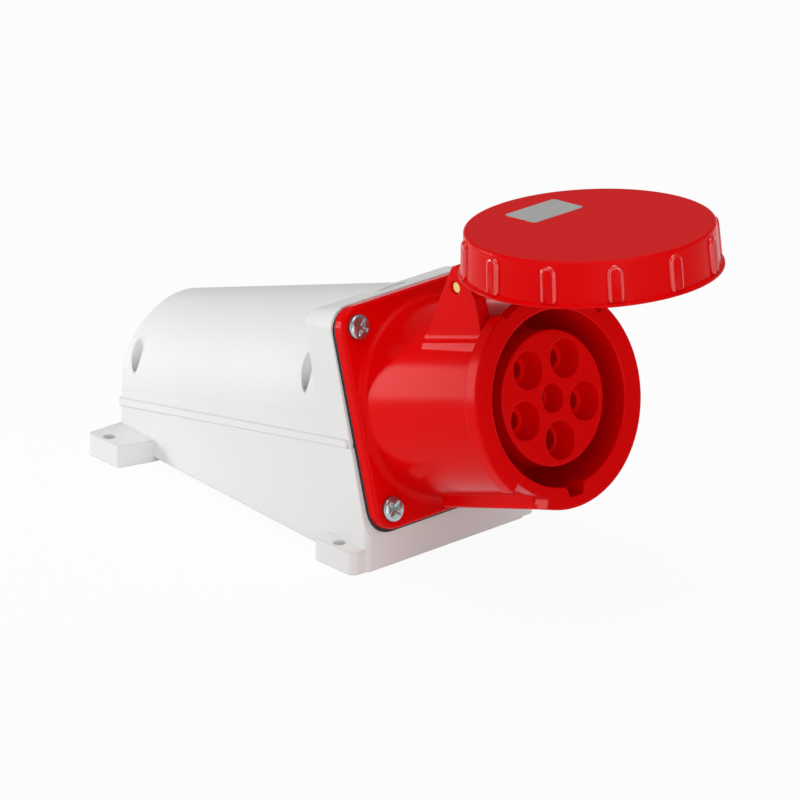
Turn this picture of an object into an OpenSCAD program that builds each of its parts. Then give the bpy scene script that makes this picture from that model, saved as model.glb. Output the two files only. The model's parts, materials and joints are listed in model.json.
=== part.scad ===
// Surface mount pin and sleeve socket: a tilted socket on a wall box, with a hinged twist cap.
// The wall plane is Z = 0, +Z points out of the wall and the socket faces -Y.

/* [Wall box] */
// Width over the fixing feet
base_w = 121.4; // [119:0.2:130]
// Length of the base along the wall
base_l = 193; // [186:1:205]
// How far the rear feet reach out beside the box
rear_foot_out = 20.7; // [18:0.1:23]
// How far the front feet reach out beside the box
front_foot_out = 7.7; // [7:0.1:9]
// Height of the upright front wall below the seat
plinth_h = 17.75; // [15:0.05:22]
// Wall thickness of the box
wall = 3; // [2.4:0.1:3.4]
// Thickness of the box's floor
floor_t = 5; // [3:0.1:5.5]
// Radius of the box's rear corners in plan
box_r = 1.5; // [1:0.1:2.5]
// Radius of the box's front corners in plan
front_r = 3; // [1:0.1:4]
// Height of the line where the hood starts to curve, at the rear end
spring_rear_z = 29.8; // [29:0.1:36]
// Rise of that line towards the front, in degrees
spring_slope = 14.6; // [13:0.1:16]
// Height of the joint between base and hood, at the rear end
split_rear_z = 21; // [19:0.5:24]
// Rise of the joint towards the front, in degrees
split_slope = 12.3; // [11:0.1:13.5]
// Height of the bead along the joint
bead_h = 4.1; // [3:0.1:5]
// How far the bead stands proud of the box
bead_proud = 1.1; // [0.6:0.1:1.8]
// How far the bead stops short of the seat
bead_stop = 2; // [1:0.1:4]

/* [Seat] */
// Lean of the socket seat from upright, in degrees
seat_tilt = 17.66; // [15:0.01:20]
// Length of the seat along its slope
seat_h = 113.4; // [112.6:0.1:117]
// Thickness of the seat wall
seat_wall = 4; // [3:0.1:5]
// Depth of the raised frame behind the seat
frame_d = 20; // [18:0.5:23]
// How far the frame's top stays below the end of the seat
frame_low = 1.8; // [0.5:0.1:1.9]
// How far the frame's top falls towards the rear
frame_fall = 1; // [0.5:0.1:1.2]
// Corner radius of the frame
frame_r = 12; // [10:0.5:14]
// Depth of the screw bosses behind the seat wall
seat_boss_l = 11; // [9:0.5:12]
// Radius of the screw bosses
seat_boss_r = 6; // [5:0.1:6.4]

/* [Feet] */
// Height of the fixing feet
foot_h = 11.6; // [9:0.1:14]
// Length of a rear foot
rear_foot_l = 22.3; // [20:0.1:26]
// Length of a front foot
front_foot_l = 27.1; // [25:0.1:33]
// Extra length of a rear foot at its root
rear_flare = 5.5; // [2:0.1:8]
// Extra length of a front foot at its root
front_flare = 1; // [0.5:0.1:5]
// How far the front feet stay behind the front wall
foot_set = 1.2; // [0.5:0.1:2.5]
// Gap under the side walls between the feet
rim_lift = 2.6; // [1:0.1:3.4]
// Width of that gap under the floor
rim_ledge = 7; // [5:0.5:9]
// Radius of the outer corner of a front foot
front_foot_r = 4; // [2:0.1:5]
// Radius of the outer corner of a rear foot
rear_foot_r = 1.5; // [1:0.1:5]
// Distance of the fixing holes from the outer edge of the feet
fix_edge = 4.7; // [4.2:0.1:5]
// Distance of the rear fixing holes from the rear end
fix_rear = 10; // [8:0.5:13]
// Distance of the front fixing holes from the front end
fix_front = 16; // [13:0.5:19]
// Radius of the fixing holes
fix_r = 3; // [2.5:0.1:3.2]

/* [Hood screws] */
// Radius of a hood screw pocket
pocket_hole_r = 4; // [3.8:0.1:4.6]
// Distance of the pocket's edge from the outside of the box
pocket_skin = 1.2; // [1:0.1:1.8]
// Distance of the rear pockets from the rear end
pocket_rear = 14; // [13:0.5:18]
// Distance of the front pockets from the front end
pocket_front = 45; // [45:0.5:50]
// Wall of the post round a hood screw
post_wall = 1.9; // [1.6:0.1:2.4]
// Thickness of the pocket floor above the joint
pocket_floor_t = 6; // [4:0.5:8]
// Radius of a hood screw's shank
hood_screw_r = 2; // [1.6:0.1:2.4]
// Radius of a hood screw's head
hood_head_r = 3.5; // [3:0.1:3.7]
// Height of a hood screw's head
hood_head_h = 2.6; // [2:0.1:3.2]
// Depth to which a hood screw enters the base
hood_screw_l = 9; // [6:0.5:12]

/* [Cable entry] */
// Height of the cable entry above the wall
entry_z = 44; // [42:0.5:47]
// Radius of the hole in the rear wall
entry_r = 15; // [12:0.5:16]
// Radius of the grommet's outer lip
grommet_lip_r = 18.5; // [17.5:0.5:19.5]
// Thickness of each lip of the grommet
grommet_lip_t = 2.5; // [2:0.1:3.5]
// Height of one step of the grommet
grommet_step = 3.2; // [2:0.1:4]

/* [Flange] */
// How far the box stands out beside the flange
flange_side = 2.6; // [2.3:0.1:4]
// How far the seat reaches past the flange at either end
flange_end = 2; // [1.9:0.1:2.7]
// Thickness of the socket flange
flange_t = 6; // [4.5:0.1:8]
// Corner radius of the flange
flange_r = 11; // [9:0.5:13]
// Rounding of the flange's front edge
flange_edge = 1.6; // [0.8:0.1:2.4]
// Thickness of the flange gasket
gasket_t = 2; // [1.2:0.1:3]
// How far the gasket stands out round the flange
gasket_proud = 0.5; // [0.1:0.1:1]
// Distance of the flange screws from the sides of the flange
screw_side = 9.3; // [8.4:0.1:10.4]
// Distance of the flange screws from the ends of the flange
screw_end = 10.1; // [8.7:0.1:11.7]
// Radius of a flange screw's shank
screw_r = 2.4; // [2:0.1:2.8]
// Radius of a flange screw's head
screw_head_r = 6.1; // [5:0.1:6.6]
// Height of a flange screw's head
screw_head_h = 3.2; // [2.4:0.1:4]

/* [Barrel] */
// Length of the socket from the flange to its rim
socket_l = 86.6; // [82:0.2:92]
// Width of the flange beside the barrel
barrel_side = 2.8; // [2:0.1:3.6]
// How much the barrel narrows towards the collar
barrel_draft = 1.2; // [0.6:0.1:2]
// Fillet between barrel and flange
barrel_fillet = 4; // [2:0.5:6]
// Wall of the barrel at the flange
barrel_wall = 5.5; // [5:0.1:6]
// Depth of the space round the contact carrier
mouth_d = 50.6; // [46:0.2:54]
// Thickness of the wall that carries the contact carrier
bulkhead_t = 8; // [6:0.5:10]
// How far the spigot that enters the box stays inside the barrel's radius
spigot_step = 2.4; // [2:0.1:3]
// Length of the spigot behind the flange's front face
spigot_l = 20; // [16:0.5:24]
// Clearance of the spigot in the box
spigot_gap = 0.8; // [0.3:0.1:1.2]

/* [Collar] */
// How far the bayonet collar stands out from the barrel
collar_step = 5.3; // [4.9:0.1:5.6]
// Thickness of the bayonet collar
collar_t = 7.6; // [7:0.1:9]
// Rounding of the rim edges
rim_edge = 0.8; // [0.4:0.1:1.2]
// Depth of the entry gaps in the collar
gap_d = 5.1; // [4.5:0.1:5.7]
// Width of an entry gap, in degrees
gap_angle = 25; // [23:0.5:27]
// Place of the entry gaps from the hinge side, in degrees
gap_place = 34.5; // [34:0.5:38]
// Half the width of the cut for the hinge arm, in degrees
arm_cut_angle = 28.7; // [24:0.1:30]
// Depth of the cut for the hinge arm
arm_cut_d = 2.7; // [2.5:0.1:3.1]

/* [Keyway] */
// Half the width of the keel under the barrel
keel_half_w = 19; // [15:0.5:21]
// How far the keel's flat underside stands below the barrel
keel_d = 2.2; // [1.8:0.1:3.4]
// Start of the keel from the flange
keel_start = 12; // [9:0.5:20]
// Width of the keyway at the mouth
key_w = 12.6; // [10:0.1:14]
// Width of the keyway at its floor
key_floor_w = 8.6; // [6:0.1:9.5]
// Depth of the keyway outside the mouth radius
key_depth = 5.2; // [4:0.1:5.4]
// Corner radius of the keyway
key_r = 1.5; // [0.8:0.1:2]

/* [Contact carrier] */
// Width of the space round the contact carrier
mouth_space = 9.7; // [9.1:0.1:10.3]
// Distance of the carrier's face behind the rim
face_set = 4.5; // [3:0.1:7]
// Clearance of the carrier's rear flange in the barrel
carrier_gap = 0.5; // [0.3:0.1:1.3]
// Thickness of the carrier's rear flange
carrier_flange_t = 6; // [5:0.5:9]
// Outer wall of the hollow carrier
carrier_wall = 4; // [3.4:0.1:4.6]
// Wall of a tube round a contact
tube_wall = 2.6; // [2.2:0.1:3]
// Thickness of the plate that keeps the contacts in
retainer_t = 4; // [3:0.5:5]
// Distance of the carrier screws from the side of the carrier
carrier_screw_out = 4.2; // [3.6:0.1:4.6]
// Radius of a carrier screw
carrier_screw_r = 1.9; // [1.5:0.1:2.1]
// Radius of the circle of contacts, as a share of the carrier's radius
contact_share = 0.628; // [0.61:0.001:0.645]
// Radius of a contact pocket at the face
pocket_r = 9.3; // [8.4:0.1:9.8]
// Radius of a contact pocket at its floor
pocket_floor_r = 6.8; // [6.2:0.1:7.4]
// Depth of a contact pocket
pocket_d = 10.5; // [8:0.5:13]
// Thickness of the pocket floor in front of the contact
pocket_floor = 8; // [4:0.5:9]
// Clearance of a plug's pin in the hole of the pocket floor
pin_gap = 0.5; // [0.3:0.05:0.8]
// Radius of the pilot pocket at the face
pilot_pocket_r = 7; // [6.4:0.1:7.4]
// Radius of the pilot pocket at its floor
pilot_floor_r = 5.2; // [4.6:0.1:5.8]

/* [Contacts] */
// Bore radius of a line or neutral contact
line_bore_r = 4.1; // [3.8:0.05:4.4]
// Bore radius of the earth contact
earth_bore_r = 5.1; // [4.8:0.05:5.3]
// Bore radius of the pilot contact
pilot_bore_r = 3.1; // [2.8:0.05:3.4]
// Wall of a contact sleeve
sleeve_wall = 1.7; // [1.6:0.1:2.2]
// Extra radius of a contact's shoulder
shoulder_step = 1.5; // [1:0.1:1.7]
// Thickness of a contact's shoulder
shoulder_t = 4; // [3:0.5:5]
// Depth of a contact's bore
bore_d = 38; // [30:1:40]
// Length of a terminal behind the retainer plate
terminal_l = 26; // [24:1:32]
// Depth of the wire hole in a terminal
wire_d = 26; // [18:1:28]
// Radius of a terminal screw
terminal_screw_r = 2.5; // [2:0.1:2.8]

/* [Hinge] */
// Distance of the hinge axis outside the collar
hinge_out = 8.1; // [7.3:0.1:9.6]
// Distance of the hinge axis below the cap's rim
hinge_drop = 13.6; // [13:0.1:14.6]
// Angle of the cap in the shown pose, from closed, in degrees
lid_open = 78.76; // [0:0.01:110]
// Radius of the hinge pin
pin_r = 3; // [2.4:0.1:3.4]
// How far the ends of the hinge pin stay below the towers' outer faces
pin_set = 2.8; // [1:0.1:3.5]
// Chamfer of the ends of the hinge pin
pin_edge = 0.5; // [0.2:0.1:1]
// Distance between the hinge towers
tower_gap = 47.4; // [44:0.2:50]
// Thickness of a hinge tower
tower_t = 7; // [6:0.2:8]
// Height of a hinge tower's unrounded tip above the pin
tower_rise = 14.5; // [13.5:0.1:16]
// How far the tip leans from the pin towards the cap
tower_lean = 3.8; // [3:0.1:4.6]
// Distance of a tower's front corner below the hinge axis
tower_nose = 6; // [4:0.5:8]
// Rounding of the tip
tower_tip_r = 4; // [2:0.1:5]
// How far below the barrel's top a tower's back starts to slope
tower_foot_d = 11.1; // [9.6:0.1:12.6]
// Start of a hinge tower from the flange
tower_start = 35; // [32:0.5:40]
// Gap between the towers and the cap's rim
tower_clear = 1.4; // [0.8:0.1:2]
// Fillet at the foot of a hinge tower
tower_fillet = 4; // [2:0.5:5]
// Radius of the hinge knuckle
knuckle_r = 6.5; // [5.6:0.1:7]

/* [Lid plate] */
// Thickness of the lid plate
plate_t = 2.6; // [2.2:0.1:3.4]
// How far the lid plate stays inside the collar's radius
plate_in = 0.9; // [0:0.1:1]
// Clearance of the hinge arm in its cut
arm_gap = 0.4; // [0.3:0.1:1]
// Thickness of the hinge arm
arm_t = 4.3; // [3.6:0.1:4.5]
// Half the width of the hinge arm, in degrees
arm_angle = 19; // [15:0.5:20]
// Thickness of the lid gasket
seal_t = 3; // [2:0.1:4]
// How far the lid gasket reaches inside the mouth
seal_in = 1.6; // [0.7:0.1:3.1]
// How far the lid gasket stays inside the collar's radius
seal_out = 2.9; // [2.7:0.1:4.9]

/* [Twist cap] */
// Clearance between the collar and the cap's skirt
skirt_gap = 5; // [4.7:0.1:5.6]
// How much the cap narrows towards its top
cap_draft = 1.2; // [0.4:0.1:1.4]
// How far the cap's rim stands proud of the skirt
rim_proud = 1.9; // [1.2:0.1:2.6]
// Thickness of the cap's rim
rim_t = 1.9; // [1.4:0.1:2.6]
// Thickness of the cap's top
cap_t = 2; // [1.8:0.1:3]
// Thickness of the cap's skirt
skirt_t = 2.4; // [2:0.1:2.8]
// How far the cap's skirt reaches behind the collar
skirt_reach = 2.4; // [2.3:0.1:3.4]
// Rounding of the cap's top edge
cap_edge = 1.2; // [0.6:0.1:1.8]
// Space between the lid plate and the cap's top
cap_space = 3.5; // [2:0.1:4]
// Number of grip pads
grip_count = 12; // [8:1:16]
// Width of a grip pad
grip_w = 6.3; // [5:0.1:10]
// Turn of the grip pads from the hinge side, in degrees
grip_turn = 3.4; // [0:0.1:10]
// How far a grip pad stands proud
grip_proud = 1.3; // [0.8:0.1:1.6]
// Distance of a grip pad from the cap's top
grip_top = 2.7; // [2.2:0.1:5]
// Width of a bayonet lug, in degrees
lug_angle = 20; // [16:0.5:21]
// Thickness of a bayonet lug
lug_t = 2; // [1.6:0.1:2]
// How far a bayonet lug reaches behind the collar
lug_reach = 2.6; // [1.9:0.1:3.3]
// Radius of the pivot that the cap turns on
pivot_r = 6; // [5:0.1:8]
// Radius of the pivot's shoulder
pivot_shoulder_r = 9; // [8.4:0.1:11]
// Radius of the washer on the pivot
washer_r = 10; // [9:0.1:13]
// Thickness of the washer on the pivot
washer_t = 1.2; // [0.8:0.1:1.6]
// Radius of the cap screw
cap_screw_r = 1.9; // [1.5:0.1:2.3]
// Radius of the cap screw's head
cap_head_r = 4; // [3.4:0.1:4.6]
// Height of the cap screw's head
cap_head_h = 2.2; // [1.6:0.1:2.6]

/* [Label] */
// Width of the bare label
label_w = 32; // [26:0.5:36]
// Height of the bare label
label_h = 20.4; // [16:0.2:24]
// Thickness of the bare label
label_t = 0.3; // [0.2:0.05:0.6]
// Distance of the label's middle from the cap's edge on the hinge side
label_edge = 26.5; // [23:0.1:31]
// Distance of the label from the cap's axis, to the right
label_x = 2; // [-4:0.5:4]

/* [Clearances] */
// Clearance between fixed pieces that fit into each other
fit = 0.1; // [0.05:0.01:0.15]
// Clearance of a screw in a through hole
screw_fit = 0.4; // [0.3:0.05:0.6]
// Clearance of a turning fit
running = 0.06; // [0.03:0.01:0.09]
// Clearance between moving faces
move = 0.3; // [0.25:0.05:0.4]

/* [Hidden] */
$fn = 96;

big = 600;
cut = 1;
trim = 0.06;
arc_steps = 6;
rear_y = base_l / 2;
front_y = -base_l / 2;
rear_w = base_w - 2 * rear_foot_out;
front_w = base_w - 2 * front_foot_out;
fix_x = base_w / 2 - fix_edge;
frame_top = seat_h / 2 - frame_low;
frame_over = frame_r / 40;
flange_w = front_w - 2 * flange_side;
flange_h = seat_h - 2 * flange_end;
screw_x = flange_w / 2 - screw_side;
screw_u = flange_h / 2 - screw_end;

barrel_r = flange_w / 2 - barrel_side;
barrel_tip_r = barrel_r - barrel_draft;
mouth_r = barrel_r - barrel_wall;
spigot_r = barrel_r - spigot_step;
collar_r = barrel_r + collar_step;
gap_floor_r = collar_r - gap_d;
arm_cut_r = collar_r - arm_cut_d;
keel_drop = barrel_r + keel_d;
carrier_r = mouth_r - mouth_space;
carrier_flange_r = mouth_r - carrier_gap;
carrier_screw_pcr = carrier_r + carrier_screw_out;
contact_pcr = carrier_r * contact_share;

hinge_u = collar_r + hinge_out;
tower_foot_u = barrel_r - tower_foot_d;
plate_r = collar_r - plate_in;
arm_in_r = arm_cut_r + arm_gap;
arm_out_r = arm_in_r + arm_t;
seal_in_r = mouth_r - seal_in;
seal_out_r = collar_r - seal_out;
skirt_r = collar_r + skirt_gap + skirt_t;
cap_r = skirt_r - cap_draft;
rim_r = skirt_r + rim_proud;
lug_in_r = collar_r - lug_reach;
label_u = cap_r - label_edge;

taper = (front_w - rear_w) / 2 / base_l;
seat_y = front_y + seat_h / 2 * sin(seat_tilt);
seat_z = plinth_h + seat_h / 2 * cos(seat_tilt);
flange_front = gasket_t + flange_t;
box_hole_r = spigot_r + spigot_gap;
seal_w = wall / 2;
seal_h = bead_h / 2;
post_r = pocket_hole_r + post_wall;
seal_post_r = pocket_hole_r - 0.1;

collar_n = socket_l - collar_t;
floor_n = socket_l - mouth_d;
bulkhead_n = floor_n - bulkhead_t;
face_n = socket_l - face_set;
retainer_n = bulkhead_n - carrier_flange_t;
contact_n = retainer_n - retainer_t;
sleeve_n = face_n - pocket_d - pocket_floor;
carrier_screw_l = carrier_flange_t + retainer_t + bulkhead_t * 0.7;

rim_n = collar_n - skirt_reach;
hinge_n = rim_n - hinge_drop;
tower_n = rim_n - tower_clear;
tower_x = (tower_gap + tower_t) / 2;
seal_n = socket_l + move;
plate_n = seal_n + seal_t;
plate_back_n = plate_n + plate_t;
cap_in_n = plate_back_n + cap_space;
cap_n = cap_in_n + cap_t;
washer_n = plate_n - move;

white = [0.93, 0.93, 0.92];
red = [0.82, 0.02, 0.03];
black = [0.05, 0.05, 0.05];
zinc = [0.78, 0.79, 0.8];
brass = [0.8, 0.62, 0.25];
grey = [0.66, 0.67, 0.66];

function half_w(y) = rear_w / 2 + (rear_y - y) * taper;
function spring_z(y) = spring_rear_z + (rear_y - y) * tan(spring_slope);
function split_z(y) = split_rear_z + (rear_y - y) * tan(split_slope);
function seat_y_at(u) = seat_y + u * sin(seat_tilt);
function unit(v) = v / norm(v);

// One corner b between a and c, as an arc of radius r
function corner(a, b, c, r) =
    r <= 0 ? [b] :
    let (p = unit(a - b), q = unit(c - b), h = acos(p * q) / 2)
    let (o = b + unit(p + q) * r / sin(h))
    let (s = b + p * r / tan(h) - o, e = b + q * r / tan(h) - o)
    let (from = atan2(s.y, s.x), turn = atan2(e.y, e.x) - from)
    let (sweep = turn > 180 ? turn - 360 : turn < -180 ? turn + 360 : turn)
    [for (i = [0 : arc_steps]) let (a = from + sweep * i / arc_steps) o + r * [cos(a), sin(a)]];

// A closed outline whose corners have the radii given
function rounded(pts, radii) =
    [for (i = [0 : len(pts) - 1])
        each corner(pts[(i + len(pts) - 1) % len(pts)], pts[i], pts[(i + 1) % len(pts)], radii[i])];

function box_outline(w, h, r) =
    rounded([[-w / 2, -h / 2], [w / 2, -h / 2], [w / 2, h / 2], [-w / 2, h / 2]], [r, r, r, r]);

function arc(centre, r, from, to) =
    [for (i = [0 : arc_steps]) let (a = from + (to - from) * i / arc_steps) centre + r * [cos(a), sin(a)]];

// The seat plane: x across, y up the slope, z out along the socket axis
module on_seat() {
    translate([0, seat_y, seat_z]) rotate([90 - seat_tilt, 0, 0]) children();
}

// The same directions from the front face of the flange
module on_flange() {
    on_seat() translate([0, 0, flange_front]) children();
}

// Pieces of the lid are drawn closed and turned to the shown pose about the hinge
module on_lid() {
    on_flange()
        translate([0, hinge_u, hinge_n]) rotate([-lid_open, 0, 0]) translate([0, -hinge_u, -hinge_n])
            children();
}

module both_sides() {
    children();
    mirror([1, 0, 0]) children();
}

module at_flange_screws() {
    for (sx = [-1, 1], su = [-1, 1]) translate([sx * screw_x, su * screw_u, 0]) children();
}

module tube(r_out, r_in, h) {
    difference() {
        cylinder(r = r_out, h = h);
        translate([0, 0, -cut]) cylinder(r = r_in, h = h + 2 * cut);
    }
}

// A prism across the whole width from an outline in Y and Z
module side_prism(pts) {
    rotate([90, 0, 90]) linear_extrude(big, center = true) polygon(pts);
}

// A prism across X from an outline in n and u, in the flange's directions
module gusset(pts, x, t) {
    translate([x, 0, 0]) rotate([0, -90, 0]) linear_extrude(t, center = true) polygon(pts);
}

// A sector of a ring about the socket axis, centred at an angle from the hinge side
module sector(r_in, r_out, n_from, n_to, place, angle) {
    rotate([0, 0, 90 - place - angle / 2])
        rotate_extrude(angle = angle) translate([r_in, n_from]) square([r_out - r_in, n_to - n_from]);
}

// Pan head with a cross recess, the head on +z and the shank on -z
module pan_screw(head_r, head_h, shank_r, shank_l) {
    recess_w = head_r * 0.24;
    recess_l = head_r * 1.1;
    difference() {
        rotate_extrude() polygon(concat(
            [[0, -shank_l], [shank_r, -shank_l], [shank_r, 0], [head_r, 0], [head_r, head_h * 0.25]],
            [for (a = [15 : 15 : 90]) [head_r * cos(a), head_h * (0.25 + 0.75 * sin(a))]]));
        for (a = [45, 135]) translate([0, 0, head_h]) rotate([0, 0, a])
            cube([recess_l, recess_w, head_h * 1.1], center = true);
    }
}

// Everything behind the seat plane, less a depth
module behind_seat(depth) {
    on_seat() translate([-big / 2, -big / 2, -big - depth]) cube(big);
}

// Tapered plan of the box, taken in by a wall, from the left front corner round to the left rear
function plan_outline(inset) =
    let (r = max(box_r - inset, 0.5), f = max(front_r - inset, 0.5))
    rounded([[-half_w(front_y) + inset, front_y + inset], [half_w(front_y) - inset, front_y + inset],
             [half_w(rear_y) - inset, rear_y - inset], [-half_w(rear_y) + inset, rear_y - inset]],
            [f, f, r, r]);

module plan_prism(inset) {
    translate([0, 0, inset > 0 ? floor_t : 0]) linear_extrude(big) polygon(plan_outline(inset));
}

// Upright walls of the box, taken in by a wall and by a thickness at the seat
module wall_form(inset, seat_inset) {
    intersection() {
        plan_prism(inset);
        behind_seat(seat_inset);
    }
}

// The arched top: half a cone whose sides run on from the upright walls, which it overlaps by a trim
module arch_form(inset) {
    spring_l = base_l / cos(spring_slope);
    grow = taper * cos(spring_slope);
    over = 60;
    reach = 40;
    rear_r = rear_w / 2 + trim - inset;
    outline = plan_outline(inset);
    last = len(outline) - 1;
    rear = [for (i = [2 * (arc_steps + 1) : last]) outline[i]];
    right = rear[0] + reach * (rear[0] - rear[1]);
    left = outline[last] + reach * (outline[last] - outline[last - 1]);
    intersection() {
        translate([0, rear_y, spring_rear_z - trim]) rotate([90 - spring_slope, 0, 0])
            rotate_extrude(angle = 180) polygon([
                [0, -over], [rear_r - over * grow, -over],
                [rear_r + spring_l * grow, spring_l], [0, spring_l]]);
        linear_extrude(big) polygon(concat(
            [right], rear, [left], [[-big, front_y - over], [big, front_y - over]]));
        behind_seat(frame_d / 2);
    }
}

// The raised frame round the seat; the walls trim its sides
module frame_block(inset) {
    over = frame_over - inset;
    top = frame_top - inset;
    low = -frame_top / 2;
    wide = half_w(seat_y_at(low)) + over;
    high = half_w(seat_y_at(top)) + over;
    r = frame_r - inset;
    on_seat() intersection() {
        translate([0, 0, -frame_d + inset]) linear_extrude(frame_d) polygon(rounded(
            [[-wide, low], [wide, low], [high, top], [-high, top]], [0, 0, r, r]));
        gusset([[-frame_d, 2 * low], [frame_d, 2 * low], [frame_d, top + frame_fall - trim],
                [-frame_d, top - frame_fall - trim]], 0, big);
    }
}

// Walls, arch and frame together
module box_form(inset, seat_inset) {
    over = 60;
    intersection() {
        wall_form(inset, seat_inset);
        side_prism([[rear_y + over, -cut], [rear_y + over, spring_z(rear_y + over)],
                    [front_y - over, spring_z(front_y - over)], [front_y - over, -cut]]);
    }
    arch_form(inset);
    intersection() {
        wall_form(inset, seat_inset);
        frame_block(inset);
    }
}

// The layer between two heights above the joint
module joint_layer(from, to) {
    y1 = rear_y + wall;
    y2 = front_y - wall;
    side_prism([[y1, split_z(y1) + from], [y1, split_z(y1) + to],
                [y2, split_z(y2) + to], [y2, split_z(y2) + from]]);
}

function pocket_x(y) = half_w(y) - pocket_skin - pocket_hole_r;

// Places of the hood screws, which stand square on the joint
module at_hood_screws() {
    for (y = [rear_y - pocket_rear, front_y + pocket_front])
        both_sides() translate([pocket_x(y), y, split_z(y)]) rotate([-split_slope, 0, 0]) children();
}

module foot(corner_y, length, flare, r, way) {
    root_x = rear_w / 4;
    edge_x = base_w / 2;
    wide = length + flare;
    linear_extrude(foot_h) polygon(rounded(
        [[root_x, corner_y], [edge_x, corner_y], [edge_x, corner_y + way * length],
         [half_w(corner_y), corner_y + way * wide], [root_x, corner_y + way * wide]],
        [0, r, 2, 2, 0]));
}

// The strip along a side wall between the feet, up to a height and in by a width
module side_strip(height, width) {
    from_y = front_y + foot_set + front_foot_l;
    to_y = rear_y - rear_foot_l - rear_flare;
    g = atan(taper);
    translate([half_w(from_y) - width, from_y, -cut]) rotate([0, 0, g])
        cube([width + base_w, (to_y - from_y) / cos(g), height + cut]);
}

// Round bosses behind the seat wall for the flange screws
module seat_bosses() {
    on_seat() at_flange_screws() translate([0, 0, -seat_wall - seat_boss_l])
        cylinder(r = seat_boss_r, h = seat_boss_l + seat_wall / 2);
}

// Holes that the socket's spigot and screws need in the seat
module seat_holes() {
    depth = seat_wall + seat_boss_l - cut;
    on_seat() {
        translate([0, 0, -seat_wall - cut]) cylinder(r = box_hole_r, h = seat_wall + 2 * cut);
        at_flange_screws() translate([0, 0, -depth]) cylinder(r = screw_r + fit, h = depth + cut);
    }
}

// Posts for the hood screws and bosses for the flange screws
module box_posts() {
    seat_bosses();
    at_hood_screws() translate([0, 0, -big / 2]) cylinder(r = post_r, h = big);
}

module base_box() color(white) {
    difference() {
        intersection() {
            union() {
                wall_form(0, 0);
                both_sides() {
                    foot(rear_y, rear_foot_l, rear_flare, rear_foot_r, -1);
                    foot(front_y + foot_set, front_foot_l, front_flare, front_foot_r, 1);
                }
            }
            joint_layer(-big, 0);
        }
        difference() {
            wall_form(wall, seat_wall);
            box_posts();
            both_sides() side_strip(rim_lift + wall, rim_ledge + wall);
        }
        both_sides() side_strip(rim_lift, rim_ledge);
        seat_holes();
        at_hood_screws() translate([0, 0, -hood_screw_l - cut])
            cylinder(r = hood_screw_r + fit, h = hood_screw_l + 2 * cut);
        both_sides() for (y = [rear_y - fix_rear, front_y + fix_front])
            translate([fix_x, y, -cut]) cylinder(r = fix_r, h = foot_h + 2 * cut);
    }
}

module hood_cover() color(white) {
    difference() {
        intersection() {
            union() {
                box_form(0, 0);
                intersection() {
                    plan_prism(-bead_proud);
                    joint_layer(-bead_h, bead_h);
                    behind_seat(bead_stop);
                }
            }
            joint_layer(0, big);
        }
        difference() {
            box_form(wall, seat_wall);
            box_posts();
        }
        seat_holes();
        seal_form(-seal_h, 0);
        at_hood_screws() {
            translate([0, 0, -pocket_floor_t]) cylinder(r = hood_screw_r + screw_fit, h = 3 * pocket_floor_t);
            translate([0, 0, pocket_floor_t]) cylinder(r = pocket_hole_r, h = big);
        }
        translate([0, rear_y + cut + bead_proud, entry_z]) rotate([90, 0, 0])
            cylinder(r = entry_r, h = wall + 3 * cut);
    }
}

// The strip in the hood's inner edge, round the rear and both sides and inside the screws
module seal_form(from, gap) {
    difference() {
        intersection() {
            plan_prism(wall - seal_w + gap);
            joint_layer(from, seal_h - gap);
            behind_seat(gap);
        }
        difference() {
            plan_prism(wall - gap);
            at_hood_screws() translate([0, 0, -big / 2]) cylinder(r = seal_post_r + seal_w - gap, h = big);
        }
        at_hood_screws() translate([0, 0, -big / 2]) cylinder(r = seal_post_r + gap, h = big);
    }
}

module enclosure_seal() color(black) seal_form(0, fit);

module hood_screws() color(zinc) {
    at_hood_screws() translate([0, 0, pocket_floor_t])
        pan_screw(hood_head_r, hood_head_h, hood_screw_r, pocket_floor_t + hood_screw_l);
}

// Stepped rubber entry, closed by a membrane until a cable is fitted
module cable_grommet() color(black) {
    neck_r = entry_r - fit;
    inner = -wall - grommet_lip_t;
    steps = 3;
    skin = 1.6;
    outside = concat(
        [[neck_r, 0], [grommet_lip_r, 0], [grommet_lip_r, grommet_lip_t]],
        [for (i = [0 : steps - 1], k = [0, 1])
            [neck_r * (1 - 0.22 * i), grommet_lip_t + grommet_step * (i + k)]]);
    inside = concat(
        [[0, grommet_lip_t + grommet_step * steps], [0, grommet_lip_t + grommet_step * steps - skin]],
        [for (i = [steps - 1 : -1 : 0], k = [1, 0])
            [neck_r * (1 - 0.22 * i) - skin, grommet_lip_t + grommet_step * (i + k) - skin]],
        [[neck_r - 2 * skin, inner], [grommet_lip_r, inner], [grommet_lip_r, -wall], [neck_r, -wall]]);
    translate([0, rear_y, entry_z]) rotate([-90, 0, 0])
        rotate_extrude() polygon(concat(outside, inside));
}

module flange_gasket() color(black) {
    on_seat() difference() {
        linear_extrude(gasket_t) polygon(
            box_outline(flange_w + 2 * gasket_proud, flange_h + 2 * gasket_proud, flange_r + gasket_proud));
        translate([0, 0, -cut]) cylinder(r = box_hole_r, h = gasket_t + 2 * cut);
        at_flange_screws() translate([0, 0, -cut]) cylinder(r = screw_r + screw_fit, h = gasket_t + 2 * cut);
    }
}

// Flange plate with a rounded front edge
module flange_plate() {
    flat = flange_t - flange_edge;
    translate([0, 0, -flange_t]) hull() {
        linear_extrude(flat) polygon(box_outline(flange_w, flange_h, flange_r));
        for (a = [30, 60, 90]) {
            inset = flange_edge * (1 - cos(a));
            linear_extrude(flat + flange_edge * sin(a))
                polygon(box_outline(flange_w - 2 * inset, flange_h - 2 * inset, flange_r - inset));
        }
    }
}

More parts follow.
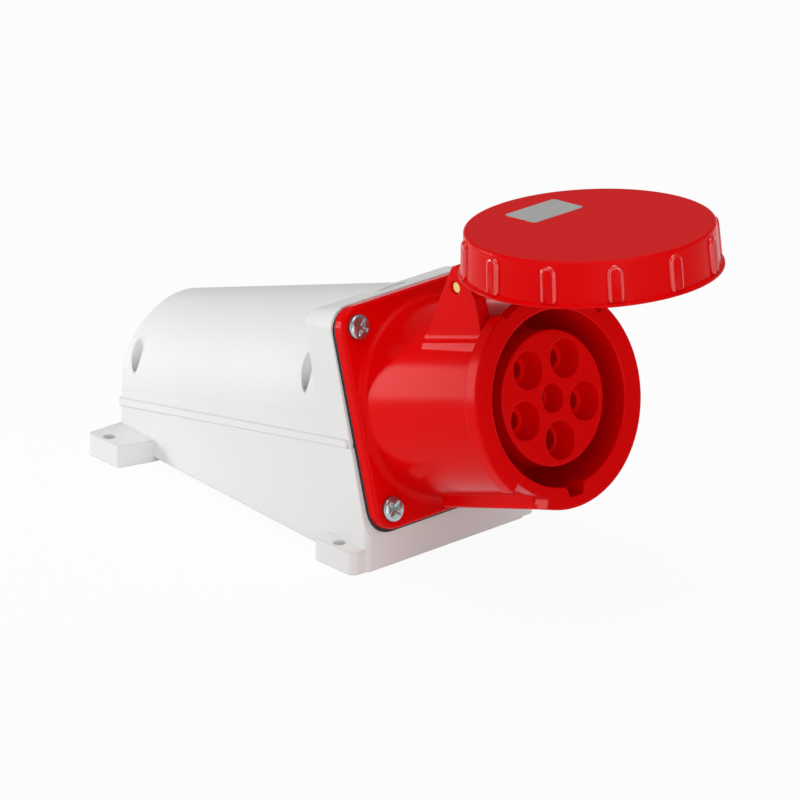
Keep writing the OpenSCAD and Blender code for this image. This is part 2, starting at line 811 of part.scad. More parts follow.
// Barrel, collar, bulkhead and spigot as one turned form, measured from the flange's front face
function barrel_profile() = concat(
    [[mouth_r, floor_n], [mouth_r, socket_l - rim_edge]],
    arc([mouth_r + rim_edge, socket_l - rim_edge], rim_edge, 180, 90),
    arc([collar_r - rim_edge, socket_l - rim_edge], rim_edge, 90, 0),
    [[collar_r, collar_n], [barrel_tip_r, collar_n], [barrel_r, 0], [barrel_r, -flange_t / 2],
     [spigot_r, -flange_t / 2], [spigot_r, -spigot_l], [mouth_r, -spigot_l], [mouth_r, bulkhead_n],
     [carrier_r + fit, bulkhead_n], [carrier_r + fit, floor_n]]);

// Fillet between barrel and flange, where the flange's front face has room for it
module barrel_root() {
    root_r = barrel_r + barrel_fillet;
    edge = 2 * (flange_edge + trim);
    intersection() {
        rotate_extrude() polygon(concat(
            [[barrel_tip_r, -flange_t / 2], [barrel_tip_r, barrel_fillet]],
            arc([root_r, barrel_fillet], barrel_fillet, 180, 270), [[root_r, -flange_t / 2]]));
        translate([0, 0, -flange_t]) linear_extrude(flange_t + 2 * barrel_fillet)
            polygon(box_outline(flange_w - edge, flange_h - edge, flange_r - edge / 2));
    }
}

module hinge_tower(x) {
    root = barrel_tip_r * 0.7;
    tip = [hinge_n + tower_lean, hinge_u + tower_rise];
    gusset(rounded(
        [[tower_start, root], [tower_start, tower_foot_u], tip,
         [tower_n, hinge_u - tower_nose], [tower_n, root]], [0, 0, tower_tip_r, 1, 0]), x, tower_t);
}

// Concave fillet where a tower's outer face meets the barrel
module tower_foot(side) {
    face_x = (tower_gap + 2 * tower_t) / 2;
    foot_u = sqrt(pow(barrel_tip_r, 2) - pow(face_x, 2));
    far_x = face_x + tower_fillet;
    far_u = sqrt(pow(barrel_tip_r, 2) - pow(far_x, 2));
    mirror([side < 0 ? 1 : 0, 0, 0]) translate([0, 0, tower_start]) linear_extrude(tower_n - tower_start)
        polygon(concat([[face_x - cut, foot_u - tower_fillet], [face_x - cut, foot_u + tower_fillet]],
                       arc([far_x, foot_u + tower_fillet], tower_fillet, 180, 250),
                       [[far_x, far_u], [far_x - cut, foot_u - tower_fillet]]));
}

module socket_housing() color(red) {
    keel_top = barrel_tip_r * 0.6;
    key_u = mouth_r + key_depth;
    on_flange() difference() {
        union() {
            difference() {
                flange_plate();
                translate([0, 0, -flange_t - cut]) cylinder(r = barrel_r, h = flange_t + 2 * cut);
            }
            rotate_extrude() polygon(barrel_profile());
            barrel_root();
            difference() {
                translate([0, 0, keel_start]) linear_extrude(collar_n + cut - keel_start) polygon(rounded(
                    [[-keel_half_w, -keel_drop], [keel_half_w, -keel_drop],
                     [keel_half_w, -keel_top], [-keel_half_w, -keel_top]], [key_r, key_r, 0, 0]));
                cylinder(r = mouth_r + cut, h = socket_l);
            }
            difference() {
                for (side = [-1, 1]) {
                    hinge_tower(side * tower_x);
                    tower_foot(side);
                }
                cylinder(r = mouth_r + cut, h = socket_l);
            }
        }
        for (turn = [0, 180])
            sector(gap_floor_r, rim_r, collar_n - skirt_reach, socket_l + cut, gap_place + turn, gap_angle);
        sector(arm_cut_r, rim_r, collar_n - cut / 2, socket_l + cut, 0, 2 * arm_cut_angle);
        translate([0, 0, floor_n]) linear_extrude(mouth_d + cut) polygon(rounded(
            [[-key_w / 2, -mouth_r + key_r], [-key_floor_w / 2, -key_u], [key_floor_w / 2, -key_u],
             [key_w / 2, -mouth_r + key_r]], [0, key_r, key_r, 0]));
        at_flange_screws() translate([0, 0, -flange_t - cut])
            cylinder(r = screw_r + screw_fit, h = flange_t + 2 * cut);
        translate([-tower_gap, hinge_u, hinge_n]) rotate([0, 90, 0])
            cylinder(r = pin_r + running, h = 2 * tower_gap);
        at_carrier_screws() translate([0, 0, bulkhead_n - cut])
            cylinder(r = carrier_screw_r + fit, h = bulkhead_t * 0.8 + cut);
    }
}

module flange_screws() color(zinc) {
    on_flange() at_flange_screws()
        pan_screw(screw_head_r, screw_head_h, screw_r, flange_front + seat_wall + seat_boss_l / 2);
}

// Places of the contacts, counted round from the earth contact by the keyway
module at_contact(i) {
    rotate([0, 0, -90 - 72 * i]) translate([contact_pcr, 0, 0]) children();
}

module at_carrier_screws() {
    for (a = [90, 210, 330]) rotate([0, 0, a]) translate([carrier_screw_pcr, 0, 0]) children();
}

// Room for one contact in the carrier: tapered pocket, pin hole, sleeve and shoulder
module contact_room(bore_r, mouth, floor_r) {
    sleeve = bore_r + sleeve_wall + fit;
    shoulder = sleeve + shoulder_step;
    translate([0, 0, face_n - pocket_d]) cylinder(r1 = floor_r, r2 = mouth, h = pocket_d);
    translate([0, 0, face_n]) cylinder(r = mouth, h = cut);
    translate([0, 0, sleeve_n - cut]) cylinder(r = bore_r + pin_gap, h = pocket_floor + 2 * cut);
    translate([0, 0, retainer_n - cut]) cylinder(r = sleeve, h = sleeve_n - retainer_n + cut);
    translate([0, 0, retainer_n - cut]) cylinder(r = shoulder, h = shoulder_t + cut);
}

// Hollow of the carrier, open to the rear, less the tubes round the contacts
module carrier_core() {
    core_l = face_n - pocket_d - carrier_wall - retainer_n;
    extra = sleeve_wall + fit + tube_wall;
    difference() {
        translate([0, 0, retainer_n - cut]) cylinder(r = carrier_r - carrier_wall, h = core_l + cut);
        translate([0, 0, retainer_n - 2 * cut]) {
            for (i = [1 : 4]) at_contact(i) cylinder(r = line_bore_r + extra, h = core_l + 4 * cut);
            at_contact(0) cylinder(r = earth_bore_r + extra, h = core_l + 4 * cut);
            cylinder(r = pilot_bore_r + extra, h = core_l + 4 * cut);
        }
    }
}

module contact_carrier() color(red) {
    on_flange() difference() {
        rotate_extrude() polygon(concat(
            [[0, retainer_n], [carrier_flange_r, retainer_n], [carrier_flange_r, bulkhead_n],
             [carrier_r, bulkhead_n]],
            arc([carrier_r - rim_edge, face_n - rim_edge], rim_edge, 0, 90), [[0, face_n]]));
        for (i = [1 : 4]) at_contact(i) contact_room(line_bore_r, pocket_r, pocket_floor_r);
        at_contact(0) contact_room(earth_bore_r, pocket_r, pocket_floor_r);
        contact_room(pilot_bore_r, pilot_pocket_r, pilot_floor_r);
        carrier_core();
        at_carrier_screws() translate([0, 0, retainer_n - cut])
            cylinder(r = carrier_screw_r + screw_fit, h = carrier_flange_t + 2 * cut);
    }
}

function terminal_r(bore_r) = bore_r + sleeve_wall + shoulder_step / 2;

module retainer_plate() color(black) {
    on_flange() difference() {
        translate([0, 0, contact_n]) cylinder(r = carrier_flange_r, h = retainer_t);
        translate([0, 0, contact_n - cut]) {
            for (i = [1 : 4]) at_contact(i)
                cylinder(r = terminal_r(line_bore_r) + fit, h = retainer_t + 2 * cut);
            at_contact(0) cylinder(r = terminal_r(earth_bore_r) + fit, h = retainer_t + 2 * cut);
            cylinder(r = terminal_r(pilot_bore_r) + fit, h = retainer_t + 2 * cut);
            at_carrier_screws() cylinder(r = carrier_screw_r + screw_fit, h = retainer_t + 2 * cut);
        }
    }
}

module carrier_screws() color(zinc) {
    on_flange() at_carrier_screws() translate([0, 0, contact_n]) rotate([180, 0, 0])
        pan_screw(carrier_screw_r * 2, carrier_screw_r * 1.2, carrier_screw_r, carrier_screw_l);
}

// Turned sleeve with a shoulder, a bore for the pin and a terminal with a wire hole
module contact(bore_r) {
    sleeve = bore_r + sleeve_wall;
    rear_n = contact_n - terminal_l;
    screw_n = rear_n + wire_d / 2;
    lead = 0.6;
    difference() {
        rotate_extrude() polygon([
            [0, rear_n], [terminal_r(bore_r), rear_n], [terminal_r(bore_r), retainer_n],
            [sleeve + shoulder_step, retainer_n], [sleeve + shoulder_step, retainer_n + shoulder_t],
            [sleeve, retainer_n + shoulder_t], [sleeve, sleeve_n], [bore_r + lead, sleeve_n],
            [bore_r, sleeve_n - lead], [bore_r, sleeve_n - bore_d], [0, sleeve_n - bore_d]]);
        translate([0, 0, rear_n - cut]) cylinder(r = bore_r * 0.9, h = wire_d + cut);
        translate([0, 0, screw_n]) rotate([0, 90, 0])
            cylinder(r = terminal_screw_r + fit / 2, h = 2 * sleeve);
    }
}

module line_contact(i) color(brass) on_flange() at_contact(i) contact(line_bore_r);
module line_contact_1() line_contact(1);
module line_contact_2() line_contact(2);
module line_contact_3() line_contact(3);
module neutral_contact() line_contact(4);
module earth_contact() color(brass) on_flange() at_contact(0) contact(earth_bore_r);
module pilot_contact() color(brass) on_flange() contact(pilot_bore_r);

// Slotted clamping screw across the wire hole
module terminal_screw(bore_r) {
    proud = 2.5;
    foot = bore_r * 0.35;
    length = terminal_r(bore_r) + proud - foot;
    slot_d = 1.2;
    screw_n = contact_n - terminal_l + wire_d / 2;
    translate([0, 0, screw_n]) rotate([0, 90, 0]) translate([0, 0, foot]) difference() {
        cylinder(r = terminal_screw_r, h = length);
        translate([0, 0, length]) cube([3 * terminal_screw_r, slot_d / 1.5, 2 * slot_d], center = true);
    }
}

module terminal_screws() color(zinc) {
    on_flange() {
        for (i = [1 : 4]) at_contact(i) terminal_screw(line_bore_r);
        at_contact(0) terminal_screw(earth_bore_r);
        terminal_screw(pilot_bore_r);
    }
}

// Pin through both towers and the lid's knuckle, with turned ends
module hinge_pin() color(brass) {
    half_l = tower_gap / 2 + tower_t - pin_set;
    end_r = pin_r - pin_edge;
    on_flange() translate([0, hinge_u, hinge_n]) rotate([0, 90, 0]) rotate_extrude() polygon([
        [0, -half_l], [end_r, -half_l], [pin_r, -half_l + pin_edge], [pin_r, half_l - pin_edge],
        [end_r, half_l], [0, half_l]]);
}

// Plate inside the cap, with the arm past the collar and the hinge knuckle
module lid_plate() color(red) {
    knuckle_l = tower_gap - 2 * move;
    web_x = 2 * arm_in_r * sin(arm_angle) - 2;
    on_lid() difference() {
        union() {
            translate([0, 0, plate_n]) cylinder(r = plate_r, h = plate_t);
            sector(arm_in_r, arm_out_r, hinge_n + knuckle_r, plate_back_n, 0, 2 * arm_angle);
            translate([-knuckle_l / 2, hinge_u, hinge_n]) rotate([0, 90, 0])
                cylinder(r = knuckle_r, h = knuckle_l);
            gusset([[hinge_n - knuckle_r / 2, hinge_u - knuckle_r * 0.8], [hinge_n + 2, arm_in_r + 0.4],
                    [tower_n, arm_in_r + 0.4], [tower_n, arm_in_r + 2.5],
                    [hinge_n + knuckle_r * 0.7, hinge_u + knuckle_r * 0.5], [hinge_n, hinge_u]], 0, web_x);
        }
        translate([0, 0, plate_n - cut]) cylinder(r = pivot_r + running, h = plate_t + 2 * cut);
        translate([-tower_gap / 2, hinge_u, hinge_n]) rotate([0, 90, 0])
            cylinder(r = pin_r + running, h = tower_gap);
    }
}

module lid_gasket() color(black) {
    on_lid() translate([0, 0, seal_n]) tube(seal_out_r, seal_in_r, seal_t);
}

// Skirt radius outside at a height, without rim and grips
function skirt_at(n) = skirt_r + (cap_r - skirt_r) * (n - rim_n) / (cap_n - rim_n);

module twist_cap() color(red) {
    lug_n = collar_n - move - lug_t;
    pad_top = cap_n - grip_top - grip_w / 2;
    on_lid() difference() {
        union() {
            rotate_extrude() polygon(concat(
                [[0, cap_in_n], [cap_r - skirt_t, cap_in_n], [skirt_r - skirt_t, rim_n], [rim_r, rim_n],
                 [rim_r, rim_n + rim_t / 2], [skirt_at(rim_n + rim_t), rim_n + rim_t]],
                arc([cap_r - cap_edge, cap_n - cap_edge], cap_edge, 0, 90), [[0, cap_n]]));
            for (i = [0 : grip_count - 1]) rotate([0, 0, 360 / grip_count * i - grip_turn]) intersection() {
                rotate_extrude() polygon([
                    [cap_r - skirt_t / 2, rim_n], [skirt_r + grip_proud, rim_n],
                    [cap_r + grip_proud, cap_n], [cap_r - skirt_t / 2, cap_n]]);
                union() {
                    translate([0, 0, pad_top]) rotate([0, 90, 0]) cylinder(r = grip_w / 2, h = 2 * cap_r);
                    translate([0, -grip_w / 2, rim_n]) cube([2 * cap_r, grip_w, pad_top - rim_n]);
                }
            }
            for (turn = [0, 180])
                sector(lug_in_r, skirt_r - skirt_t / 2, lug_n, lug_n + lug_t, gap_place + turn, lug_angle);
            translate([0, 0, plate_back_n + move]) cylinder(r = pivot_shoulder_r, h = cap_space);
            translate([0, 0, washer_n]) cylinder(r = pivot_r, h = cap_in_n - washer_n + cut / 2);
        }
        translate([0, 0, washer_n - cut]) cylinder(r = cap_screw_r + fit, h = cap_in_n - washer_n + cut);
    }
}

module pivot_washer() color(zinc) {
    on_lid() translate([0, 0, washer_n - washer_t]) tube(washer_r, cap_screw_r + fit, washer_t);
}

module cap_screw() color(zinc) {
    on_lid() translate([0, 0, washer_n - washer_t]) rotate([180, 0, 0])
        pan_screw(cap_head_r, cap_head_h, cap_screw_r, washer_t + cap_in_n - washer_n - cut);
}

module label_plate() color(grey) {
    on_lid() translate([label_x, label_u, cap_n])
        linear_extrude(label_t) polygon(box_outline(label_w, label_h, 1.5));
}

base_box();
hood_cover();
enclosure_seal();
hood_screws();
cable_grommet();
flange_gasket();
socket_housing();
flange_screws();
contact_carrier();
retainer_plate();
carrier_screws();
line_contact_1();
line_contact_2();
line_contact_3();
neutral_contact();
earth_contact();
pilot_contact();
terminal_screws();
hinge_pin();
lid_plate();
lid_gasket();
twist_cap();
pivot_washer();
cap_screw();
label_plate();
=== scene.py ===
"""Looks of the surface mount pin and sleeve socket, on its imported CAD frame.

Lengths are in metres.
"""

import json
import math

import bpy
from mathutils import Matrix, Quaternion, Vector


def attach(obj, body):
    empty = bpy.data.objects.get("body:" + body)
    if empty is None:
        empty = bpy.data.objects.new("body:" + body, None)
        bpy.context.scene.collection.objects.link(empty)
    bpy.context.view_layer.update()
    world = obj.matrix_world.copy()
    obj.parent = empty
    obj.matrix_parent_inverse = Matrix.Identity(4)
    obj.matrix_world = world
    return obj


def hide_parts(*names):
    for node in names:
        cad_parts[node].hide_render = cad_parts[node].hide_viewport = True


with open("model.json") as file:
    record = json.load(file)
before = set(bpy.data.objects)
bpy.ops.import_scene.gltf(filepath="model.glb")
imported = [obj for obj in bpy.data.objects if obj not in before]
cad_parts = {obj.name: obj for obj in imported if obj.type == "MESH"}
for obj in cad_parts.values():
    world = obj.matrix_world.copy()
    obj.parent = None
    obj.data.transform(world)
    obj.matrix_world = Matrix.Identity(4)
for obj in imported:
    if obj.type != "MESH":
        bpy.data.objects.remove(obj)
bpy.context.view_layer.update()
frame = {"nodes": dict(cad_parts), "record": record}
record = frame["record"]
MM = 0.001

# Camera, as solved from the photograph's edges; angles in degrees, lens and sensor in mm
CAMERA_AZIMUTH = -43.75
CAMERA_ELEVATION = 22.81
CAMERA_ROLL = 1.67
CAMERA_DISTANCE = 3763.9 * MM
CAMERA_TARGET = Vector((0, -59.35, 64.73)) * MM
CAMERA_LENS = 351.5
CAMERA_SENSOR = 36
CAMERA_SHIFT = (0.0031, -0.0027)
CAMERA_REACH = 100

# Studio
WORLD_STRENGTH = 0.2
FLOOR_SIZE = 40
FLOOR_DROP = 0.2 * MM
FLOOR_COLOUR = (0.86, 0.86, 0.86, 1)
FLOOR_SHOWN_WHITE = 0.94
PART_MIDDLE = (0, -0.06, 0.08)
SOFTBOXES = [
    # name, place, aimed at, width, height, roll in degrees, watts
    ("left_softbox", (-2.0, 0.0, 0.9), PART_MIDDLE, 1.8, 1.8, 0, 9.5),
    ("rear_left_strip", (-0.5, 0.62, 0.167), (0, -0.13, 0.12), 0.14, 0.4, 36, 2.5),
    ("top_softbox", (-0.1, -0.2, 2.0), PART_MIDDLE, 1.6, 1.6, 0, 16),
    ("front_softbox", (-0.2, -2.3, 0.9), PART_MIDDLE, 1.5, 1.5, 0, 12),
    ("low_softbox", (-1.0, -1.9, 0.32), (0, -0.1, 0.04), 1.4, 0.6, 0, 4),
]

# Directions of the socket and of the open cap
SOCKET_BORE = next(m for m in record["mounts"] if m["kind"] == "bore")
SOCKET_AXIS = Vector(SOCKET_BORE["axis"]).normalized()
SOCKET_UP = SOCKET_AXIS.cross(Vector((1, 0, 0)))
CAP_TWIST = next(j for j in record["behaviour"]["joints"] if j["name"] == "cap_twist")
CAP_AXIS = -Vector(CAP_TWIST["axis"]).normalized()
CAP_SIDE = Vector((1, 0, 0))
CAP_UP = CAP_AXIS.cross(CAP_SIDE)

# Grip pads of the twist cap, as moulded round the CAD pads
PAD_COUNT = 12
PAD_TURN = math.radians(3.4)
PAD_HALF_WIDTH = 4 * MM
PAD_ROUND = 1.7 * MM
PAD_PROUD = 1.55 * MM
PAD_SUNK = 0.4 * MM
PAD_FOOT = 20 * MM  # below the cap's top, as is the next
PAD_CENTRE = 5.85 * MM
PAD_SIDE_STEPS = 6
PAD_ARC_STEPS = 24
PAD_FLANK_STEPS = 8
CAP_TOP_RADIUS = 59.1 * MM
CAP_SLOPE = 1.2 / 21.4

# How far the gasket's edges are moved out, and the part of its half height over which that eases in
GASKET_SIDE = -0.55 * MM
GASKET_TOP = -1.6 * MM
GASKET_LOW = 1.2 * MM
GASKET_RIM = 5 * MM
GASKET_EASE = (0.7, 0.97)

# How far the ends of the pin are moved out, and how long an end is
PIN_OUT = 2 * MM
PIN_END = 1 * MM

# Heads of the flange screws, as shares of their radius or height
HEAD_HEIGHT = 0.525
HEAD_RIM = 0.5
HEAD_RINGS = 44
HEAD_SPOKES = 120
RECESS_DEPTH = 0.5
RECESS_ARM = 0.74
RECESS_WIDTH = 0.15
RECESS_FLARE = 0.1
RECESS_FLANK = 0.09
RECESS_RISE = 0.55
RECESS_RISE_START = 0.2
# Turn of each head in radians, by its side and height on the flange
HEAD_TURNS = {(-1, 1): 0.62, (1, 1): 1.1, (-1, -1): 0.8, (1, -1): 0.4}

# Lengths and strengths of the patterns in the materials
NOISE_LOW, NOISE_HIGH = 0.35, 0.65  # most values of a noise lie between these
FLOW_LENGTH, FLOW_TINT = 60 * MM, 0.01
GLOSS_LENGTH, GLOSS_SPREAD = 20 * MM, 0.015
PLASTIC_GRAIN_LENGTH = 0.7 * MM
DUST_LENGTH, DUST_TINT = 4 * MM, 1.8
RUBBER_PATCH_LENGTH, RUBBER_ROUGHNESS = 2 * MM, (0.55, 0.75)
RUBBER_GRAIN_LENGTH, RUBBER_GRAIN, RUBBER_EDGE = 0.5 * MM, 0.04 * MM, 0.3 * MM
CLOUD_LENGTH, CLOUD_TINTS = 3 * MM, (0.9, 1.05)
TOOL_MARK_LENGTH, TOOL_MARK_DEPTH, TOOL_MARK_GLOSS = 0.6 * MM, 0.02 * MM, (-0.07, 0.1)
BRUSHING_LENGTH, BRUSHING_DEPTH, BRUSHING_TINTS = 0.6 * MM, 0.01 * MM, (0.93, 1.06)
BRUSHING_STRETCH = (0.06, 1, 1)
FOIL_PATCH_LENGTH, FOIL_ROUGHNESS, FOIL_METALLIC = 5 * MM, (0.4, 0.52), 0.35
RED = (0.82, 0.0008, 0.0015)


class Shader:
    """A node material that is built up around one Principled BSDF."""

    def __init__(self, name):
        self.material = bpy.data.materials.new(name)
        self.material.use_nodes = True
        self.tree = self.material.node_tree
        self.main = self.tree.nodes["Principled BSDF"]
        self.place = self.node("ShaderNodeTexCoord").outputs["Object"]

    def node(self, kind, **settings):
        made = self.tree.nodes.new(kind)
        for key, value in settings.items():
            setattr(made, key, value)
        return made

    def link(self, output, target):
        self.tree.links.new(output, target)

    def feed(self, key, output):
        self.link(output, self.main.inputs[key])

    def set(self, **values):
        for key, value in values.items():
            self.main.inputs[key.replace("_", " ")].default_value = value

    def noise(self, length, detail=3, stretch=(1, 1, 1)):
        """Noise whose features are about this long."""
        scale = self.node("ShaderNodeMapping")
        scale.inputs["Scale"].default_value = stretch
        self.link(self.place, scale.inputs["Vector"])
        noise = self.node("ShaderNodeTexNoise")
        noise.inputs["Scale"].default_value = 1 / length
        noise.inputs["Detail"].default_value = detail
        self.link(scale.outputs["Vector"], noise.inputs["Vector"])
        return noise.outputs["Fac"]

    def ramp(self, value, low, high):
        """The middle range of a noise, spread between two colours or two numbers."""
        if isinstance(low, tuple):
            ramp = self.node("ShaderNodeValToRGB")
            ends = ramp.color_ramp.elements
            for end, position, colour in zip(ends, (NOISE_LOW, NOISE_HIGH), (low, high)):
                end.position = position
                end.color = (*colour, 1)
            self.link(value, ramp.inputs["Fac"])
            return ramp.outputs["Color"]
        spread = self.node("ShaderNodeMapRange")
        spread.inputs["From Min"].default_value = NOISE_LOW
        spread.inputs["From Max"].default_value = NOISE_HIGH
        spread.inputs["To Min"].default_value = low
        spread.inputs["To Max"].default_value = high
        self.link(value, spread.inputs["Value"])
        return spread.outputs["Result"]

    def surface(self, height, depth, edge=0.0):
        """Fine relief of this depth, on edges that are rounded by this radius."""
        bump = self.node("ShaderNodeBump")
        bump.inputs["Strength"].default_value = 1
        bump.inputs["Distance"].default_value = depth
        self.link(height, bump.inputs["Height"])
        if edge > 0:
            bevel = self.node("ShaderNodeBevel", samples=6)
            bevel.inputs["Radius"].default_value = edge
            self.link(bevel.outputs["Normal"], bump.inputs["Normal"])
        self.feed("Normal", bump.outputs["Normal"])


def tint(colour, factor):
    return tuple(min(c * factor, 1) for c in colour)


def moulded_plastic(name, colour, roughness, specular, grain, edge):
    """Injection moulded plastic: flow tints, uneven gloss, a fine grain and rounded edges."""
    shader = Shader(name)
    flow = shader.noise(FLOW_LENGTH, detail=0)
    tints = tint(colour, 1 - FLOW_TINT), tint(colour, 1 + FLOW_TINT)
    shader.feed("Base Color", shader.ramp(flow, *tints))
    gloss = shader.noise(GLOSS_LENGTH, detail=1)
    spread = roughness - GLOSS_SPREAD, roughness + GLOSS_SPREAD
    shader.feed("Roughness", shader.ramp(gloss, *spread))
    shader.set(IOR=1.5, Specular_IOR_Level=specular)
    shader.surface(shader.noise(PLASTIC_GRAIN_LENGTH, detail=2), grain, edge)
    return shader.material


def rubber(name, colour):
    """Moulded elastomer: dull, with dusty lighter patches."""
    shader = Shader(name)
    dust = shader.noise(DUST_LENGTH, detail=5)
    shader.feed("Base Color", shader.ramp(dust, colour, tint(colour, DUST_TINT)))
    patches = shader.noise(RUBBER_PATCH_LENGTH)
    shader.feed("Roughness", shader.ramp(patches, *RUBBER_ROUGHNESS))
    shader.surface(shader.noise(RUBBER_GRAIN_LENGTH), RUBBER_GRAIN, RUBBER_EDGE)
    return shader.material


def metal(name, colour, roughness, streak, edge, metallic=1):
    """Plated or turned metal with fine tool marks along one direction."""
    shader = Shader(name)
    cloud = shader.noise(CLOUD_LENGTH, detail=4)
    shader.feed("Base Color", shader.ramp(cloud, *(tint(colour, t) for t in CLOUD_TINTS)))
    marks = shader.noise(TOOL_MARK_LENGTH, detail=2, stretch=streak)
    shader.feed("Roughness", shader.ramp(marks, *(roughness + g for g in TOOL_MARK_GLOSS)))
    shader.set(Metallic=metallic)
    shader.surface(marks, TOOL_MARK_DEPTH, edge)
    return shader.material


def label_stock(name, colour):
    """Bare foil label with a fine lengthwise brushing."""
    shader = Shader(name)
    brushing = shader.noise(BRUSHING_LENGTH, detail=2, stretch=BRUSHING_STRETCH)
    shader.feed("Base Color", shader.ramp(brushing, *(tint(colour, t) for t in BRUSHING_TINTS)))
    patches = shader.noise(FOIL_PATCH_LENGTH)
    shader.feed("Roughness", shader.ramp(patches, *FOIL_ROUGHNESS))
    shader.set(Metallic=FOIL_METALLIC)
    shader.surface(brushing, BRUSHING_DEPTH)
    return shader.material


# One material for each slot of the record
MATERIALS = {
    "white_plastic": moulded_plastic(
        "white_moulding", (0.86, 0.86, 0.855),
        roughness=0.5, specular=0.3, grain=0.006 * MM, edge=1.2 * MM),
    "red_plastic": moulded_plastic(
        "red_moulding", RED, roughness=0.22, specular=0.06, grain=0.004 * MM, edge=1 * MM),
    "black_plastic": moulded_plastic(
        "black_moulding", (0.02, 0.02, 0.02),
        roughness=0.45, specular=0.5, grain=0.01 * MM, edge=0.4 * MM),
    "black_rubber": rubber("black_rubber", (0.012, 0.012, 0.012)),
    "zinc_steel": metal(
        "bright_zinc", (0.44, 0.53, 0.55),
        roughness=0.22, streak=(1, 1, 0.15), edge=0.2 * MM, metallic=0.92),
    "brass": metal(
        "turned_brass", (0.83, 0.6, 0.22), roughness=0.24, streak=(0.15, 1, 1), edge=0.2 * MM),
    "grey_label": label_stock("bare_foil", (0.64, 0.645, 0.635)),
}
# The flanks of the grip pads, which hands keep glossy
PAD_FLANK = moulded_plastic(
    "red_moulding_worn", RED, roughness=0.14, specular=1, grain=0.004 * MM, edge=0.3 * MM)


def dress_frame():
    """Every CAD node gets the material of its slot."""
    for part in record["subparts"]:
        mesh = frame["nodes"][part["node"]].data
        mesh.materials.clear()
        mesh.materials.append(MATERIALS[part["material_slot"]])


def mesh_object(name, points, faces, slot):
    """A new smooth piece in the material of a slot."""
    mesh = bpy.data.meshes.new(name)
    mesh.from_pydata(points, [], faces)
    mesh.update()
    mesh.shade_smooth()
    mesh.materials.append(MATERIALS[slot])
    made = bpy.data.objects.new(name, mesh)
    bpy.context.scene.collection.objects.link(made)
    return made


def corner_points(node):
    return [v.co for v in frame["nodes"][node].data.vertices]


def smooth(low, high, value):
    """From 0 at the low value to 1 at the high one, without a kink."""
    t = min(max((value - low) / (high - low), 0), 1)
    return t * t * (3 - 2 * t)


def moved_copy(name, node, shift):
    """A copy of a CAD piece with each point moved, which takes the place of the piece."""
    part = frame["nodes"][node]
    slot = next(p["material_slot"] for p in record["subparts"] if p["node"] == node)
    points = [p + shift(p) for p in corner_points(node)]
    made = mesh_object(name, points, [tuple(f.vertices) for f in part.data.polygons], slot)
    for face, source in zip(made.data.polygons, part.data.polygons):
        face.use_smooth = source.use_smooth
    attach(made, "enclosure")
    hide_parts(node)


def gasket_edge():
    """The flange gasket, pressed out below the flange and drawn in at its sides and top."""
    points = corner_points("flange_gasket")
    ups = [p.dot(SOCKET_UP) for p in points]
    half_width = max(p.x for p in points)
    middle, half_height = (max(ups) + min(ups)) / 2, (max(ups) - min(ups)) / 2
    ease = [share * half_height for share in GASKET_EASE]

    def shift(p):
        up = p.dot(SOCKET_UP) - middle
        if max(abs(p.x) - half_width, abs(up) - half_height) < -GASKET_RIM:
            return Vector()
        rise = GASKET_TOP * smooth(*ease, up) - GASKET_LOW * smooth(*ease, -up)
        return Vector((GASKET_SIDE * p.x / half_width, 0, 0)) + SOCKET_UP * rise

    moved_copy("flange_gasket_edge", "flange_gasket", shift)


def pin_ends():
    """The hinge pin with its ends near the faces of the towers."""
    reach = max(p.x for p in corner_points("hinge_pin"))

    def shift(p):
        return Vector((math.copysign(PIN_OUT, p.x) if abs(p.x) > reach - PIN_END else 0, 0, 0))

    moved_copy("hinge_pin_ends", "hinge_pin", shift)


def pad_loop(half_width):
    """Outline of a pad as places across and below the cap's top, up one side, down the other."""
    rise = (PAD_CENTRE - PAD_FOOT) / PAD_SIDE_STEPS
    heights = [PAD_FOOT + rise * k for k in range(PAD_SIDE_STEPS + 1)]
    turns = [math.pi * (1 - k / PAD_ARC_STEPS) for k in range(1, PAD_ARC_STEPS)]
    arc = [(half_width * math.cos(a), PAD_CENTRE - half_width * math.sin(a)) for a in turns]
    left = [(-half_width, below) for below in heights]
    right = [(half_width, below) for below in reversed(heights)]
    return left + arc + right


def pad_rings():
    """Loops of a pad from its underside in the skirt, over the rounded flank, to its flat."""
    rings = [[(across, below, -PAD_SUNK) for across, below in pad_loop(PAD_HALF_WIDTH)]]
    for k in range(PAD_FLANK_STEPS + 1):
        a = math.pi / 2 * k / PAD_FLANK_STEPS
        loop = pad_loop(PAD_HALF_WIDTH - PAD_ROUND * (1 - math.cos(a)))
        rings.append([(across, below, PAD_PROUD * math.sin(a)) for across, below in loop])
    return rings


